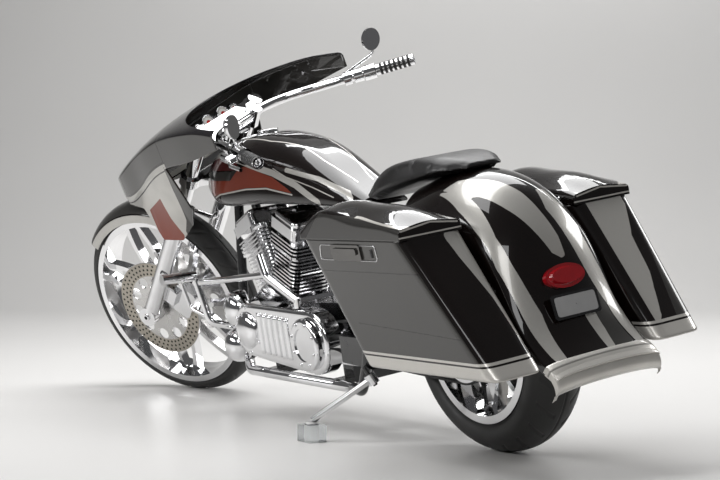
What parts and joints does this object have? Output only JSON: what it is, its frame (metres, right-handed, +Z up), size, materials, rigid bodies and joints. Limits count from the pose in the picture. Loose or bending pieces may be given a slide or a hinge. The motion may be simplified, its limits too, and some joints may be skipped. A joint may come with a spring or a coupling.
{
  "type": "bagger motorcycle",
  "caption": "Stretched touring motorcycle parked on its side stand: V-twin engine, long swept saddlebags with hinged lids, a large front wheel and a fork-mounted beaked fairing.",
  "frame": {"origin": "middle of the footprint's bounding box, on the ground", "axes": "+X forward along the machine, +Y to its left, +Z up; the machine leans to the left on its stand"},
  "size_m": [2.7936, 0.8842, 1.2793],
  "materials": {
    "black_paint": "gloss",
    "black_frame": "gloss",
    "chrome": "polished",
    "engine_metal": "satin",
    "steel": "brushed",
    "caliper": "polished",
    "tyre_rubber": "matte",
    "belt_rubber": "matte",
    "seat_leather": "satin",
    "tinted_screen": "gloss",
    "lamp_glass": "gloss",
    "red_lens": "gloss",
    "plate_white": "satin",
    "dash_black": "gloss",
    "control_black": "satin",
    "mirror_chrome": "polished",
    "clear_block": "gloss"
  },
  "bodies": {
    "chassis": {"frame": "black_frame", "swingarm": "black_frame", "rear_axle": "chrome", "engine_crankcase": "engine_metal", "cylinders": "engine_metal", "rocker_boxes": "chrome", "cam_cover": "chrome", "pushrod_tubes": "chrome", "air_cleaner": "chrome", "primary_cover": "chrome", "transmission": "engine_metal", "drive_belt": "belt_rubber", "exhaust": "chrome", "oil_tank": "black_frame", "foot_controls": "chrome", "shift_linkage": "chrome", "fuel_tank": "black_paint", "fuel_cap": "chrome", "seat": "seat_leather", "rear_fender": "black_paint", "left_bag": "black_paint", "right_bag": "black_paint", "bag_latches": "chrome", "bag_hinges": "chrome", "tail_light": "red_lens", "plate_holder": "plate_white", "rear_caliper": "caliper", "stand_block": "clear_block"},
    "side_stand": {"side_stand": "chrome"},
    "left_lid": {"left_bag_lid": "black_paint"},
    "right_lid": {"right_bag_lid": "black_paint"},
    "rear_wheel": {"rear_tyre": "tyre_rubber", "rear_rim": "chrome", "rear_pulley": "chrome", "rear_brake_disc": "steel"},
    "steering": {"lower_fork_tree": "black_frame", "upper_fork_tree": "chrome", "fork_tubes": "chrome", "fork_lowers": "chrome", "front_axle": "chrome", "front_calipers": "caliper", "front_fender": "black_paint", "fairing": "black_paint", "windshield": "tinted_screen", "fork_cheeks": "black_paint", "dash": "dash_black", "headlamp": "lamp_glass", "handlebar": "chrome", "hand_controls": "control_black", "mirrors": "mirror_chrome"},
    "front_wheel": {"front_tyre": "tyre_rubber", "front_rim": "chrome", "front_brake_discs": "steel"}
  },
  "joints": [
    {"name": "steering", "type": "hinge", "parent": "chassis", "child": "steering", "pos_m": [0.52674, 0.07988, 0.83197], "axis": [-0.6378, 0.1245, 0.7601], "range_deg": [-50, 0]},
    {"name": "front_wheel_spin", "type": "hinge", "parent": "steering", "child": "front_wheel", "pos_m": [1.03882, 0.04074, 0.34713], "axis": [-0.3255, 0.8508, -0.4125], "continuous": true},
    {"name": "rear_wheel_spin", "type": "hinge", "parent": "chassis", "child": "rear_wheel", "pos_m": [-0.88969, -0.00394, 0.32013], "axis": [0, 0.9869, -0.1616], "continuous": true},
    {"name": "side_stand_fold", "type": "hinge", "parent": "chassis", "child": "side_stand", "pos_m": [-0.51539, 0.1677, 0.18013], "axis": [0.2603, 0.49, 0.832], "range_deg": [0, 112.5]},
    {"name": "left_lid_hinge", "type": "hinge", "parent": "chassis", "child": "left_lid", "pos_m": [-0.81737, 0.2346, 0.64439], "axis": [1, -0.001, -0.0064], "range_deg": [0, 60]},
    {"name": "right_lid_hinge", "type": "hinge", "parent": "chassis", "child": "right_lid", "pos_m": [-0.81737, -0.12659, 0.70353], "axis": [-1, 0.001, 0.0064], "range_deg": [0, 60]}
  ]
}
